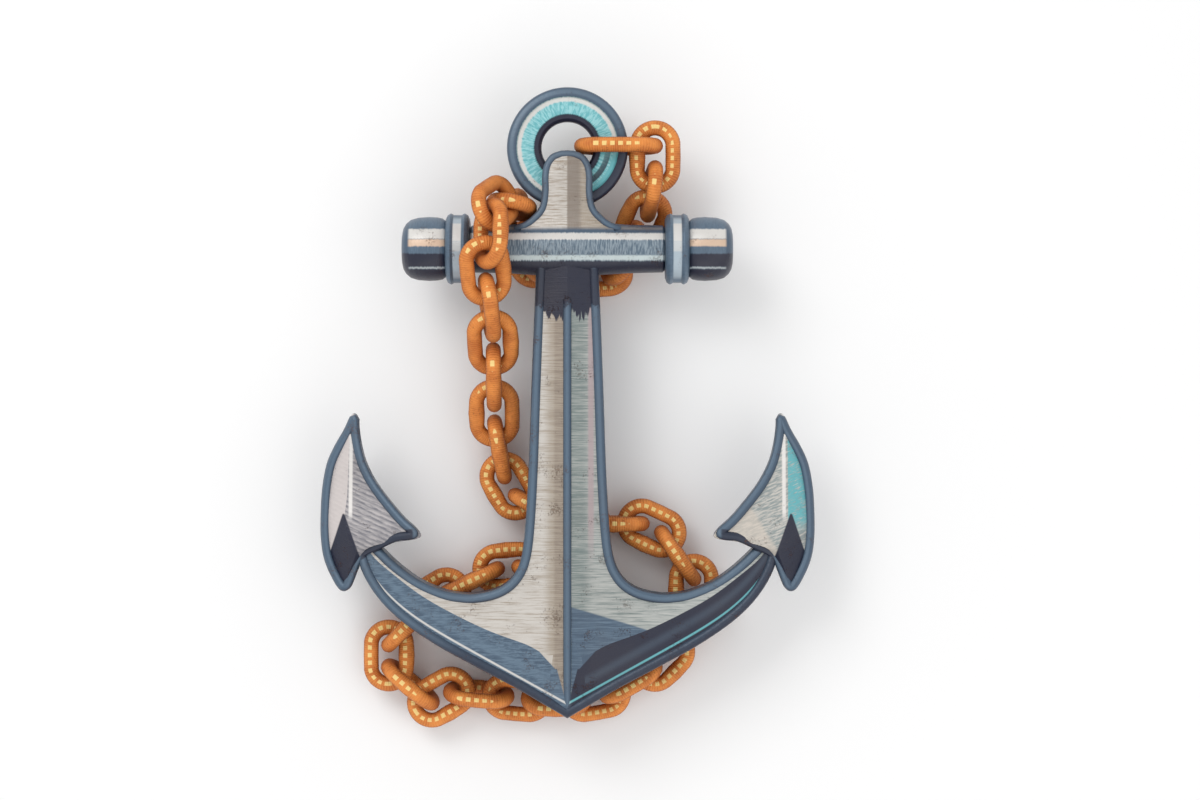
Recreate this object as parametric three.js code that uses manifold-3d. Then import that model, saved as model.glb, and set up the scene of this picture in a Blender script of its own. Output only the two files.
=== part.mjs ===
// Stocked anchor with its chain wound round it, lying face up on the ground.
// Millimetres. X runs along the stock, Y from the crown to the ring, Z up from the ground.
// The origin is on the ground, under the middle of the anchor.
import * as THREE from "three";
import * as BufferGeometryUtils from "three/addons/utils/BufferGeometryUtils.js";
import Module from "manifold-3d";

const wasm = await Module();
wasm.setup();

// Driving dimensions
const gap = 0.4; // clearance between neighbouring pieces
const wire = 8; // radius of the bar a chain link is bent from
const linkInside = 42; // clear length inside a link
const linkBend = 18; // radius of a link's round end, on the bar's centre line
const endLinkInside = 58; // clear length inside the larger first link
const midHeight = 73; // height of the anchor's middle plane above the ground
const ring = { y: 255, inner: 26, outer: 60.5, half: 7.5 };
const stockAxis = 154; // Y of the stock's axis
const stockRadius = { middle: 26.5, end: 23.5 };
const stockReach = 97; // half length of the stock between its bands
const band = { width: 24, radius: 35.5, bore: 14 };
const knob = { radius: 32, reach: 165, face: 15 };
const head = { half: 25, top: 251, thick: 20 };

const materials = {
  slateIron: new THREE.MeshStandardMaterial({ color: 0x53677c, roughness: 0.5, metalness: 0.6 }),
  paleIron: new THREE.MeshStandardMaterial({ color: 0xb5aca2, roughness: 0.5, metalness: 0.6 }),
  tealIron: new THREE.MeshStandardMaterial({ color: 0x6fbcc2, roughness: 0.45, metalness: 0.5 }),
  rustIron: new THREE.MeshStandardMaterial({ color: 0xc8682a, roughness: 0.7, metalness: 0.4 }),
};

// Solids: a merged, position-only geometry joins and cuts as a closed body.
function solid(geometry) {
  const bare = geometry.index ? geometry.clone() : geometry;
  bare.deleteAttribute("normal");
  bare.deleteAttribute("uv");
  const merged = BufferGeometryUtils.mergeVertices(bare, 1e-4);
  return new wasm.Manifold(
    new wasm.Mesh({
      numProp: 3,
      vertProperties: new Float32Array(merged.attributes.position.array),
      triVerts: new Uint32Array(merged.index.array),
    }),
  );
}

function geometryOf(body) {
  const mesh = body.getMesh();
  const geometry = new THREE.BufferGeometry();
  geometry.setAttribute("position", new THREE.BufferAttribute(new Float32Array(mesh.vertProperties), 3));
  geometry.setIndex(new THREE.BufferAttribute(new Uint32Array(mesh.triVerts), 1));
  return geometry;
}

function block(sizeX, sizeY, sizeZ, x, y, z) {
  return solid(new THREE.BoxGeometry(sizeX, sizeY, sizeZ).translate(x, y, z));
}

// A turned solid: the profile lists [radius, distance along the axis].
function turned(profile, sides) {
  return new THREE.LatheGeometry(
    profile.map(([radius, along]) => new THREE.Vector2(radius, along)),
    sides,
  );
}

const anchor = new THREE.Group();

function addPiece(name, geometry, material, place = [0, 0, 0]) {
  const mesh = new THREE.Mesh(geometry, material);
  mesh.name = name;
  mesh.position.set(...place);
  anchor.add(mesh);
  return mesh;
}

// A body whose front and back are the same ridged relief. Each station lists points [x, y, z] from
// one edge across the front to the other; z is the height above the middle plane.
function relief(stations) {
  const positions = [];
  const index = [];
  const across = stations[0].length;
  for (const side of [1, -1]) {
    for (const station of stations) {
      for (const [x, y, z] of station) positions.push(x, y, z * side);
    }
  }
  const at = (side, row, column) => side * stations.length * across + row * across + column;
  const quad = (a, b, c, d) => index.push(a, b, c, a, c, d);
  for (let row = 0; row + 1 < stations.length; row += 1) {
    for (let column = 0; column + 1 < across; column += 1) {
      quad(at(0, row, column), at(0, row + 1, column), at(0, row + 1, column + 1), at(0, row, column + 1));
      quad(at(1, row, column), at(1, row, column + 1), at(1, row + 1, column + 1), at(1, row + 1, column));
    }
    quad(at(0, row, 0), at(1, row, 0), at(1, row + 1, 0), at(0, row + 1, 0));
    const last = across - 1;
    quad(at(0, row, last), at(0, row + 1, last), at(1, row + 1, last), at(1, row, last));
  }
  for (let column = 0; column + 1 < across; column += 1) {
    const end = stations.length - 1;
    quad(at(0, 0, column), at(0, 0, column + 1), at(1, 0, column + 1), at(1, 0, column));
    quad(at(0, end, column), at(1, end, column), at(1, end, column + 1), at(0, end, column + 1));
  }
  const geometry = new THREE.BufferGeometry();
  geometry.setAttribute("position", new THREE.Float32BufferAttribute(positions, 3));
  geometry.setIndex(index);
  return geometry;
}

function mirrored(stations) {
  return stations.map((station) => station.map(([x, y, z]) => [-x, y, z]).reverse());
}

// A bar turned about X. The profile lists [radius, X].
function turnedAlongX(profile, sides = 32) {
  return solid(turned(profile, sides).rotateZ(-Math.PI / 2));
}

// Shank, crown and arms: one forging. Half outlines run from the centre line to +X.
function shankHalfBody() {
  // [Y, half width, height of the edge, height of the centre ridge]
  const sections = [
    [150, 30, 13, 20],
    [3, 36, 14, 21],
    [-77, 39, 14, 21],
    [-137, 43, 14, 21],
    [-158, 47, 14, 21],
    [-172, 54, 14, 21],
    [-182, 66, 14, 22],
    [-205, 62, 17, 22],
    [-232, 36, 19, 22],
    [-262, 12, 21, 23],
    [-300, 1, 17, 18],
  ];
  return sections.map(([y, half, edge, ridge]) => [
    [0, y, ridge],
    [half * 0.78, y, edge - 1],
    [half, y, edge],
  ]);
}

// Arm stations: lower edge, ridge and upper edge, with the ridge's height. grow makes a socket for it.
function armHalfBody(grow = 0) {
  const stations = [
    { low: [0, -314.5], ridge: [0, -290], high: [0, -190], top: 24 },
    { low: [25, -298], ridge: [12, -257], high: [40, -184], top: 25 },
    { low: [57, -280], ridge: [42, -239], high: [64, -184], top: 23 },
    { low: [90, -263], ridge: [78, -228], high: [88, -190], top: 21 },
    { low: [130, -242], ridge: [114, -211], high: [116, -189], top: 19 },
    { low: [165, -218], ridge: [144, -194], high: [145, -178], top: 18 },
    { low: [189, -193], ridge: [171, -173], high: [166, -163], top: 16 },
    { low: [205, -166], ridge: [192, -155], high: [183, -147], top: 14 },
    { low: [212, -138], ridge: [205, -135], high: [198, -132], top: 8 },
  ];
  return stations.map(({ low, ridge, high, top }, index) => {
    const rim = Math.min(13, top - 2);
    const out = index > 5 ? grow : 0;
    const past = index === stations.length - 1 ? 3 * out : 0;
    return [
      [low[0] + out, low[1] - out + past, rim + out],
      [ridge[0], ridge[1] + past, top + out],
      [high[0] - out, high[1] + out + past, rim + out],
    ];
  });
}

function bothSides(stations) {
  return solid(relief(stations)).add(solid(relief(mirrored(stations))));
}

const stockProfile = [
  [0, -stockReach],
  [stockRadius.end, -stockReach],
  [stockRadius.end + 1, -60],
  [stockRadius.middle, -25],
  [stockRadius.middle, 25],
  [stockRadius.end + 1, 60],
  [stockRadius.end, stockReach],
  [0, stockReach],
];

function grown(profile, by) {
  return profile.map(([radius, along]) => [radius > 0 ? radius + by : 0, along]);
}

const tenon = { width: 30, thick: 18, top: 184 };
const key = { radius: 5, y: 154 };

function addShank() {
  const stockBed = turnedAlongX(grown(stockProfile, gap)).translate(0, stockAxis, 0);
  const body = bothSides(shankHalfBody())
    .add(bothSides(armHalfBody()))
    .subtract(stockBed)
    .add(block(tenon.width, tenon.top - 100, tenon.thick, 0, (tenon.top + 100) / 2, 0))
    .subtract(keyHole());
  addPiece("shank_and_arms", geometryOf(body), materials.paleIron, [0, 0, midHeight]);
}

function keyHole() {
  const hole = new THREE.CylinderGeometry(key.radius + gap, key.radius + gap, 80, 16);
  return solid(hole.rotateX(Math.PI / 2).translate(0, key.y, -32));
}

function headStations() {
  // [Y, half width]
  const outline = [
    [150, 46],
    [180, 46],
    [184, 37],
    [190, 30],
    [200, head.half],
    [226, head.half],
    [237, 22],
    [246, 15],
    [head.top, 4],
  ];
  return outline.map(([y, half]) => [
    [half, y, head.thick - 6],
    [half * 0.7, y, head.thick - 4],
    [0, y, head.thick],
    [-half * 0.7, y, head.thick - 4],
    [-half, y, head.thick - 6],
  ]);
}

function annulus(inner, outer, half, sides = 48) {
  const profile = [
    [inner, -half],
    [outer, -half],
    [outer, half],
    [inner, half],
    [inner, -half],
  ];
  return solid(turned(profile, sides).rotateX(Math.PI / 2)).translate(0, ring.y, 0);
}

const plug = { radius: band.bore, depth: 22 };

function plugHole(side) {
  const bore = plug.radius + gap;
  const from = stockReach - plug.depth;
  const hole = turnedAlongX([[0, from], [bore, from], [bore, stockReach + 10], [0, stockReach + 10]]);
  return (side > 0 ? hole : hole.mirror([1, 0, 0])).translate(0, stockAxis, 0);
}

function addStock() {
  const mortise = block(
    tenon.width + 2 * gap,
    tenon.top + gap - 110,
    tenon.thick + 2 * gap,
    0,
    (tenon.top + gap + 110) / 2,
    0,
  );
  const body = turnedAlongX(stockProfile)
    .translate(0, stockAxis, 0)
    .add(solid(relief(headStations())))
    .subtract(annulus(ring.inner - 1, ring.outer + 1, ring.half + 1))
    .subtract(mortise)
    .subtract(keyHole())
    .subtract(plugHole(1))
    .subtract(plugHole(-1));
  addPiece("stock_and_head", geometryOf(body), materials.slateIron, [0, 0, midHeight]);
  const pin = new THREE.CylinderGeometry(key.radius, key.radius, 33, 16).rotateX(Math.PI / 2);
  addPiece("stock_key", pin, materials.slateIron, [0, key.y, midHeight - stockRadius.middle + 33 / 2]);
}

// A turned piece on the stock's axis, on one side; the profile lists [radius, X].
function addTurnedEnd(name, profile, side, material) {
  const geometry = turned(profile, 32).rotateZ(-Math.PI / 2);
  if (side < 0) geometry.rotateZ(Math.PI);
  addPiece(name, geometry, material, [0, stockAxis, midHeight]);
}

function addStockEnds() {
  const bandStart = stockReach + gap;
  const bandEnd = bandStart + band.width;
  const bore = band.bore + gap;
  const round = 6;
  const bandProfile = [
    [bore, bandStart],
    [band.radius - round, bandStart],
    [band.radius - 2, bandStart + 2],
    [band.radius, bandStart + round],
    [band.radius, bandEnd - round],
    [band.radius - 2, bandEnd - 2],
    [band.radius - round, bandEnd],
    [bore, bandEnd],
    [bore, bandStart],
  ];
  const knobStart = bandEnd + gap;
  const plugStart = stockReach - plug.depth + 1;
  const knobProfile = [
    [0, plugStart],
    [plug.radius, plugStart],
    [plug.radius, knobStart],
    [knob.radius - 4, knobStart],
    [knob.radius - 1, knobStart + 5],
    [knob.radius, knobStart + 14],
    [knob.radius - 1, knob.reach - 14],
    [knob.radius - 6, knob.reach - 5],
    [knob.face, knob.reach],
    [0, knob.reach],
  ];
  for (const [name, side] of [["left", -1], ["right", 1]]) {
    addTurnedEnd(`stock_band_${name}`, bandProfile, side, materials.slateIron);
    addTurnedEnd(`stock_end_${name}`, knobProfile, side, materials.slateIron);
  }
}

function addRing() {
  const { inner, outer, half } = ring;
  const profile = [
    [inner, 4.5],
    [inner + 3, half],
    [outer - 4, half],
    [outer, 3.5],
    [outer, -3.5],
    [outer - 4, -half],
    [inner + 3, -half],
    [inner, -4.5],
    [inner, 4.5],
  ];
  addPiece("ring", turned(profile.reverse(), 48).rotateX(Math.PI / 2), materials.tealIron, [0, ring.y, midHeight]);
}

// Palms: arrow-shaped plates with a ridge, one over each arm's end, leaning outwards and down.
const palmLean = -0.35; // rise of the palm's middle surface for each mm outwards
const palmMiddle = 215; // X at which the palm's middle surface meets the anchor's middle plane

function palmStations() {
  // Each row crosses the palm: inner edge, inner face, ridge, outer face, outer edge.
  const rows = [
    { inner: [210, -13], ridge: [212.5, -11], outer: [215, -12], top: 6 },
    { inner: [208, -37], ridge: [217, -36], outer: [229, -37], top: 11 },
    { inner: [200, -62], ridge: [218, -65], outer: [241, -61], top: 15 },
    { inner: [188, -82], ridge: [219, -92], outer: [246, -90], top: 18 },
    { inner: [166, -109], ridge: [221, -112], outer: [247.5, -112], top: 21 },
    { inner: [146, -127], ridge: [217, -130], outer: [247, -131], top: 22 },
    { inner: [148, -135], ridge: [212, -142], outer: [244, -150], top: 21 },
    { inner: [187, -138], ridge: [210, -152], outer: [241, -163], top: 19 },
    { inner: [206, -158], ridge: [216, -166], outer: [234, -178], top: 14 },
    { inner: [216, -180], ridge: [222, -184], outer: [228, -185], top: 8 },
  ];
  const edge = 6;
  return rows.map(({ inner, ridge, outer, top }) => [
    [inner[0], inner[1], edge],
    [(inner[0] + ridge[0]) / 2, (inner[1] + ridge[1]) / 2, edge + (top - edge) * 0.4],
    [ridge[0], ridge[1], top],
    [(outer[0] + ridge[0]) / 2, (outer[1] + ridge[1]) / 2, edge + (top - edge) * 0.4],
    [outer[0], outer[1], edge],
  ]);
}

function addPalms() {
  const plate = relief(palmStations());
  const points = plate.attributes.position;
  for (let i = 0; i < points.count; i += 1) {
    points.setZ(i, points.getZ(i) + (points.getX(i) - palmMiddle) * palmLean);
  }
  const socket = solid(relief(armHalfBody(2 * gap)));
  const palm = solid(plate).subtract(socket);
  addPiece("palm_right", geometryOf(palm), materials.paleIron, [0, 0, midHeight]);
  addPiece("palm_left", geometryOf(palm.mirror([1, 0, 0])), materials.paleIron, [0, 0, midHeight]);
}

// Chain: a larger end link through the ring, then each link hangs from the one before.
// Each row is one link: its heading (0 along X, 90 along Y), its slope, and how far it
// is turned about its length (0 lies flat, 90 stands on edge), all in degrees.
const endLinkCentre = [51, 257, 73];
const linkReach = 17.6; // between the centres of two joined round ends
const firstGroundLink = 19; // from here on the chain lies on the ground
const chainRoute = [
  [-90, -5, 0],
  [-105, -60, 80],
  [-115, -28, -5],
  [-115, 5, 60],
  [180, 5, -35],
  [170, 0, 55],
  [125, 2, -25],
  [105, 45, 60],
  [45, 80, 35],
  [-140, 55, -18],
  [-90, 18, 55],
  [-85, -22, -12],
  [-85, -30, 82],
  [-88, -30, -3],
  [-90, -28, 88],
  [-90, -22, 0],
  [-80, -15, 90],
  [-60, 0, 0],
  [-30, 0, 90],
  [0, 0, 0],
  [0, 0, 90],
  [-25, 0, 0],
  [-55, 0, 90],
  [-90, 0, 0],
  [-115, 0, 90],
  [-135, 0, 0],
  [-150, 0, 75],
  [-170, 0, -15],
  [180, 0, 60],
  [175, 0, -15],
  [175, 0, 75],
  [-150, 0, 0],
  [140, 0, 85],
  [90, 0, 0],
  [45, 0, 90],
  [35, 0, 0],
  [25, 0, 90],
  [5, 0, 0],
  [-15, 0, 90],
  [-15, 0, 0],
];

// One link: a bar bent into a stadium, lengthways on X and lying in the XY plane.
function linkGeometry(inside) {
  const straight = inside / 2 + wire - linkBend;
  const bendSteps = 6;
  const sides = 8;
  const stations = [];
  for (const end of [1, -1]) {
    for (let i = 0; i <= bendSteps; i += 1) {
      const angle = -Math.PI / 2 + (Math.PI * i) / bendSteps;
      stations.push({
        centre: [end * (straight + linkBend * Math.cos(angle)), end * linkBend * Math.sin(angle)],
        outward: [end * Math.cos(angle), end * Math.sin(angle)],
      });
    }
  }
  const positions = [];
  for (const { centre, outward } of stations) {
    for (let k = 0; k < sides; k += 1) {
      const around = (2 * Math.PI * (k + 0.5)) / sides;
      const across = wire * Math.cos(around);
      positions.push(centre[0] + outward[0] * across, centre[1] + outward[1] * across, wire * Math.sin(around));
    }
  }
  const index = [];
  for (let i = 0; i < stations.length; i += 1) {
    for (let k = 0; k < sides; k += 1) {
      const next = (i + 1) % stations.length;
      const a = i * sides + k;
      const b = i * sides + ((k + 1) % sides);
      const c = next * sides + ((k + 1) % sides);
      const d = next * sides + k;
      index.push(a, d, b, b, d, c);
    }
  }
  const geometry = new THREE.BufferGeometry();
  geometry.setAttribute("position", new THREE.Float32BufferAttribute(positions, 3));
  geometry.setIndex(index);
  return geometry;
}

// A link's frame: along it, across its flat side, and normal to its flat side.
function linkFrame([heading, slope, turn]) {
  const [h, v, t] = [heading, slope, turn].map(THREE.MathUtils.degToRad);
  const along = new THREE.Vector3(Math.cos(v) * Math.cos(h), Math.cos(v) * Math.sin(h), Math.sin(v));
  const level = new THREE.Vector3(-Math.sin(h), Math.cos(h), 0);
  const upright = new THREE.Vector3().crossVectors(along, level);
  const across = level.multiplyScalar(Math.cos(t)).addScaledVector(upright, Math.sin(t));
  return { along, across, normal: new THREE.Vector3().crossVectors(along, across) };
}

function addLink(number, inside, centre, { along, across, normal }) {
  const matrix = new THREE.Matrix4().makeBasis(along, across, normal).setPosition(centre);
  addPiece(`chain_link_${String(number).padStart(2, "0")}`, linkGeometry(inside).applyMatrix4(matrix), materials.rustIron, [0, 0, 0]);
}

// Joined round ends sit with each one's bar through the other's centre.
function addChain() {
  const centre = new THREE.Vector3(...endLinkCentre);
  let frame = linkFrame([0, 0, 90]);
  let arm = endLinkInside / 2 + wire - linkBend;
  addLink(1, endLinkInside, centre, frame);
  for (let i = 0; i < chainRoute.length; i += 1) {
    const number = i + 2;
    const next = linkFrame(chainRoute[i]);
    const step = new THREE.Vector3().crossVectors(frame.normal, next.normal).normalize();
    if (step.dot(frame.along) + step.dot(next.along) < 0) step.negate();
    centre.addScaledVector(frame.along, arm);
    arm = linkInside / 2 + wire - linkBend;
    centre.addScaledVector(step, linkReach).addScaledVector(next.along, arm);
    if (number >= firstGroundLink) {
      const turn = Math.abs(chainRoute[i][2]);
      if (number === firstGroundLink) centre.z = wire + linkBend;
      else if (turn > 45) centre.z = wire + linkBend * Math.sin(THREE.MathUtils.degToRad(turn));
    }
    addLink(number, linkInside, centre, next);
    frame = next;
  }
}

addShank();
addStock();
addStockEnds();
addRing();
addPalms();
addChain();

// The origin goes to the ground, under the middle of the whole piece.
const extent = new THREE.Box3().setFromObject(anchor);
const shift = new THREE.Vector3(-(extent.min.x + extent.max.x) / 2, -(extent.min.y + extent.max.y) / 2, -extent.min.z);
for (const piece of anchor.children) piece.geometry.translate(shift.x, shift.y, shift.z);

export default anchor;
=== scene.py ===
import math

import bmesh
import bpy
from mathutils import Matrix, Vector


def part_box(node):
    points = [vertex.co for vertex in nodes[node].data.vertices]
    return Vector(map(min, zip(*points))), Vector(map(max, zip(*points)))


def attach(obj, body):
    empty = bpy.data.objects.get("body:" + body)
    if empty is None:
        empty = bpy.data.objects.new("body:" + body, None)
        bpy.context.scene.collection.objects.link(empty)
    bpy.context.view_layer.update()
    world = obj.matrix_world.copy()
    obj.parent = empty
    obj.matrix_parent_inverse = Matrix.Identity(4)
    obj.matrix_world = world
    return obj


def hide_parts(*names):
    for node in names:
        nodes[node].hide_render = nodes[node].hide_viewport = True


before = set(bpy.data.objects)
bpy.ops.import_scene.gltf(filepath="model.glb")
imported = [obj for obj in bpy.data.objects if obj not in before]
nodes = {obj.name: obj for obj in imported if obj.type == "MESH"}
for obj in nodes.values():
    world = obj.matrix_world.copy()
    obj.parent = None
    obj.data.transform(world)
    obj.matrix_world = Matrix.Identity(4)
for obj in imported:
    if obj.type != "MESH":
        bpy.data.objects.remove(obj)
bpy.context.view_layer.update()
print("frame loaded:", len(nodes), "nodes")

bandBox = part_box("stock_band_right")
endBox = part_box("stock_end_right")
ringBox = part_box("ring")
ringCentre = Vector([(ringBox[0][i] + ringBox[1][i]) / 2 for i in range(3)])
stockCentre = Vector([(endBox[0][i] + endBox[1][i]) / 2 for i in range(3)])
stockCentre.x = 0.0
middleDown = 0.255  # from the ring's middle down to the zero line of the arms
middleY = ringCentre.y - middleDown

view = {
    "centreX": 0.0325, "centreY": 0.0102, "planeZ": 0.073,  # the point looked down on
    "width": 1.2, "lens": 85.0, "sensor": 36.0,
}
distance = view["width"] * view["lens"] / view["sensor"]
bpy.ops.object.select_all(action="DESELECT")
cameraAt = (view["centreX"], view["centreY"], view["planeZ"] + distance)
bpy.ops.object.camera_add(location=cameraAt, rotation=(0, 0, 0))
camera = bpy.context.object
camera.data.lens = view["lens"]
camera.data.sensor_width = view["sensor"]
bpy.context.scene.camera = camera

lamps = {
    "keyLamp": {"at": (-1.3, 1.5, 2.2), "size": 1.4, "power": 24.0},
    "fillLamp": {"at": (1.6, -0.6, 2.0), "size": 2.2, "power": 8.0},
    "rimLamp": {"at": (0.2, -2.0, 1.3), "size": 1.5, "power": 5.0},
}
studio = {
    "lampAim": (0, 0, 0.05), "world": (1.0, 1.0, 1.0, 1.0), "worldStrength": 0.80,
    "floorSize": 14.0, "floorZ": -0.0006, "floor": (0.93, 0.93, 0.93, 1.0), "floorRoughness": 0.9,
}
for name, lamp in lamps.items():
    bpy.ops.object.light_add(type="AREA", location=lamp["at"])
    light = bpy.context.object
    light.name = name
    light.data.size = lamp["size"]
    light.data.energy = lamp["power"]
    aim = Vector(studio["lampAim"]) - light.location
    light.rotation_euler = aim.to_track_quat("-Z", "Y").to_euler()
world = bpy.data.worlds.new("studio")
bpy.context.scene.world = world
world.use_nodes = True
sky = world.node_tree.nodes["Background"]
sky.inputs["Color"].default_value = studio["world"]
sky.inputs["Strength"].default_value = studio["worldStrength"]
bpy.context.scene.view_settings.view_transform = "Standard"

bpy.ops.mesh.primitive_plane_add(size=studio["floorSize"], location=(0, 0, studio["floorZ"]))
floor = bpy.context.object
floor.name = "studioFloor"
print("camera and light set")


# A node socket that works in arithmetic
class Wire:
    def __init__(self, sheet, socket):
        self.sheet, self.socket = sheet, socket

    def calc(self, operation, *others):
        return self.sheet.add("ShaderNodeMath", {"operation": operation}, self, *others)

    def __add__(self, other): return self.calc("ADD", other)
    def __radd__(self, other): return self.calc("ADD", other)
    def __sub__(self, other): return self.calc("SUBTRACT", other)
    def __rsub__(self, other): return self.sheet.add("ShaderNodeMath", {"operation": "SUBTRACT"}, other, self)
    def __mul__(self, other): return self.calc("MULTIPLY", other)
    def __rmul__(self, other): return self.calc("MULTIPLY", other)
    def __truediv__(self, other): return self.calc("DIVIDE", other)
    def __pow__(self, other): return self.calc("POWER", other)
    def __abs__(self): return self.calc("ABSOLUTE")

    def rise(self, low, high):  # 0 below low, 1 above high, eased between
        soft = {"interpolation_type": "SMOOTHSTEP"}
        return self.sheet.add("ShaderNodeMapRange", soft, self, low, high, 0.0, 1.0)

    def fall(self, low, high):
        return 1.0 - self.rise(low, high)

    def wave(self, period):
        return self.sheet.add("ShaderNodeMath", {"operation": "SINE"}, self * (2 * math.pi / period))

    def band(self, middle, half, soft):
        return abs(self - middle).fall(half - soft, half + soft)


# One material's node tree
class Sheet:
    def __init__(self, name):
        self.material = bpy.data.materials.new(name)
        self.material.use_nodes = True
        self.tree = self.material.node_tree
        self.shader = self.tree.nodes["Principled BSDF"]

    def plug(self, socket, value):
        if isinstance(value, Wire):
            self.tree.links.new(value.socket, socket)
        elif value is not None:
            socket.default_value = value

    def add(self, kind, settings, *values, out=0, **named):
        node = self.tree.nodes.new(kind)
        for key, value in settings.items():
            setattr(node, key, value)
        for index, value in enumerate(values):
            self.plug(node.inputs[index], value)
        for key, value in named.items():
            self.plug(node.inputs[key], value)
        return Wire(self, node.outputs[out])

    def place(self):
        return self.add("ShaderNodeTexCoord", {}, out=3)

    def axes(self, vector):
        return [self.add("ShaderNodeSeparateXYZ", {}, vector, out=i) for i in range(3)]

    def facing(self):
        return self.axes(self.add("ShaderNodeNewGeometry", {}, out=1))

    def grain(self, vector, size, detail=4.0, stretch=(1, 1, 1)):
        spread = self.add("ShaderNodeVectorMath", {"operation": "MULTIPLY"}, vector, stretch)
        return self.add("ShaderNodeTexNoise", {}, Vector=spread, Scale=size, Detail=detail, Roughness=0.6)

    def mix(self, factor, under, over):
        under, over = [c if isinstance(c, Wire) else (*c, 1.0) for c in (under, over)]
        node = self.tree.nodes.new("ShaderNodeMix")
        node.data_type = "RGBA"
        for socket, value in ((node.inputs[0], factor), (node.inputs[6], under), (node.inputs[7], over)):
            self.plug(socket, value)
        return Wire(self, node.outputs[2])

    def finish(self, colour, roughness, height=None, depth=0.0, metallic=0.0):
        self.plug(self.shader.inputs["Base Color"], colour)
        self.plug(self.shader.inputs["Roughness"], roughness)
        self.shader.inputs["Metallic"].default_value = metallic
        if height is not None:
            bump = self.add("ShaderNodeBump", {}, Height=height, Distance=depth, Strength=1.0)
            self.plug(self.shader.inputs["Normal"], bump)
        return self.material


paint = {
    "slate": (0.060, 0.098, 0.150),
    "slateLight": (0.130, 0.195, 0.265),
    "navy": (0.014, 0.017, 0.038),
    "cream": (0.44, 0.39, 0.33),
    "white": (0.70, 0.68, 0.65),
    "sand": (0.34, 0.28, 0.22),
    "peach": (0.72, 0.52, 0.38),
    "teal": (0.14, 0.46, 0.50),
    "tealLight": (0.32, 0.64, 0.67),
    "rust": (0.16, 0.055, 0.02),
    "grime": (0.10, 0.075, 0.06),
}
wear = {"patches": 42.0, "pits": 620.0, "grime": 14.0, "grimeShows": 0.30, "rustShows": 0.75}


# Rust pits and grime over a paint; returns colour, pit mask and speckle
def weather(sheet, place, colour, amount):
    patches = sheet.grain(place, wear["patches"], 6.0)
    pits = sheet.grain(place, wear["pits"], 3.0)
    wearAndSheen = (patches * 0.65 + pits * 0.45).rise(0.66 - 0.06 * amount, 0.74)
    grime = sheet.grain(place, wear["grime"], 5.0).rise(0.42, 0.75)
    colour = sheet.mix(grime * (wear["grimeShows"] * amount), colour, paint["grime"])
    return sheet.mix(wearAndSheen * (wear["rustShows"] * amount), colour, paint["rust"]), wearAndSheen, pits


rimLook = {
    "shade": (0.026, 0.040, 0.064),
    "shadowFrom": (0.102, 0.106), "shadowTo": (0.140, 0.144), "shadowHalf": (0.044, 0.046),  # navy painted shadow, under the stock
    "footFrom": (0.151, 0.154), "footTo": (0.204, 0.207), "footHalf": 0.0060,  # navy painted shade, below the palms
    "footX": 0.152, "footSpan": 0.052, "footBend": 1.6, "footDrop": 0.019, "footY": 0.1305,
    "darkFrom": (-0.175, -0.085),  # where the dark one turns navy, as painted shade
}


# Brushed slate of the rims, with painted highlight and shade: lighter where the bead faces towards the ring and to
# the left and along its top, darker on its sides and navy where it faces towards the crown; the dark one turns navy,
# as painted shade, from the left arm on
def slatePaint(name, dark=False):
    sheet = Sheet(name)
    place = sheet.place()
    brushed = sheet.grain(place, 260.0, 3.0, (1, 1, 0.4))
    nx, ny, nz = sheet.facing()
    # painted light: lighter where the bead faces towards the ring and to the left
    lit = (ny * 0.6 - nx * 0.4 + brushed * 0.5).rise(-0.1, 0.9)
    colour = sheet.mix(lit * 0.5, paint["slate"], paint["slateLight"])
    # painted shade: navy where the bead faces towards the crown
    colour = sheet.mix((ny * -1.0).rise(0.35, 0.95) * 0.7, colour, paint["navy"])
    flat = abs(nz)
    # painted shade on the bead's sides and a painted highlight along its top
    colour = sheet.mix(flat.fall(0.25, 0.80) * 0.55, colour, rimLook["shade"])
    colour = sheet.mix(flat.rise(0.90, 0.995) * 0.45, colour, paint["slateLight"])
    x, y = sheet.axes(place)[:2]
    reach = abs(x)
    # painted shadow of the stock: navy across the rims just below it
    band = (y + (brushed - 0.5) * 0.02).rise(*rimLook["shadowFrom"]) * y.fall(*rimLook["shadowTo"])
    colour = sheet.mix(band * reach.fall(*rimLook["shadowHalf"]) * 0.85, colour, paint["navy"])
    # painted shade: navy on the palms' lower rim, barb to arm
    bend = ((reach - rimLook["footX"]) / rimLook["footSpan"]) ** rimLook["footBend"]
    foot = bend * -rimLook["footDrop"] - rimLook["footY"] + middleY  # the palms' edge, barb to arm
    below = reach.rise(*rimLook["footFrom"]) * reach.fall(*rimLook["footTo"])
    below = (y - foot).band(0.0, rimLook["footHalf"], 0.0008) * below
    colour = sheet.mix(below * 0.85, colour, paint["navy"])
    # painted shade: the lower rim turns navy from the left arm on
    if dark:
        navy = sheet.mix(lit * 0.5, paint["navy"], paint["slate"])
        colour = sheet.mix(x.rise(*rimLook["darkFrom"]) * 0.88, colour, navy)
    colour, wearAndSheen, pits = weather(sheet, place, colour, 0.55)
    return sheet.finish(colour, wearAndSheen * 0.35 + 0.36, pits * 0.5 + brushed * 0.5 - wearAndSheen * 0.8, 0.0006, 0.15)


def floorPaint():
    sheet = Sheet("studioFloorPaint")
    return sheet.finish(studio["floor"], studio["floorRoughness"])


floor.data.materials.append(floorPaint())


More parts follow.
